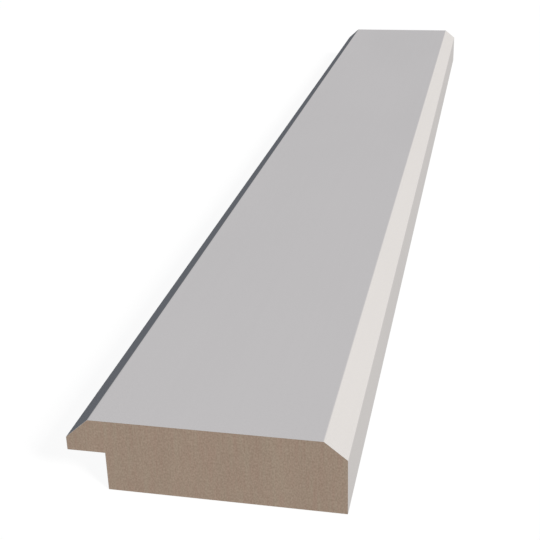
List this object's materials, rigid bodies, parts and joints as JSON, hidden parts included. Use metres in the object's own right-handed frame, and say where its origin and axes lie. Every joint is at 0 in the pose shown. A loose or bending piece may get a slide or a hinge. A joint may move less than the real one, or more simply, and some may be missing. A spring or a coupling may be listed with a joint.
{
  "type": "chair rail",
  "caption": "Flat chair rail moulding with a sloping face along each side and a rebated lip along one, which covers the edge of wall panelling.",
  "frame": {"origin": "middle of the length and of the overall width, in the plane of the back, which lies on the bench or against the wall", "axes": "+X across the width, from the rebated lip towards the plain edge; +Y along the length; +Z out from the wall, up when the rail lies on its back"},
  "size_m": [0.064, 0.46, 0.018],
  "materials": {
    "primed_mdf": "matt light grey-white primer on the long faces, bare brown MDF at the sawn ends and on the back"
  },
  "bodies": {
    "root": {"chair_rail": "primed_mdf"}
  },
  "joints": []
}
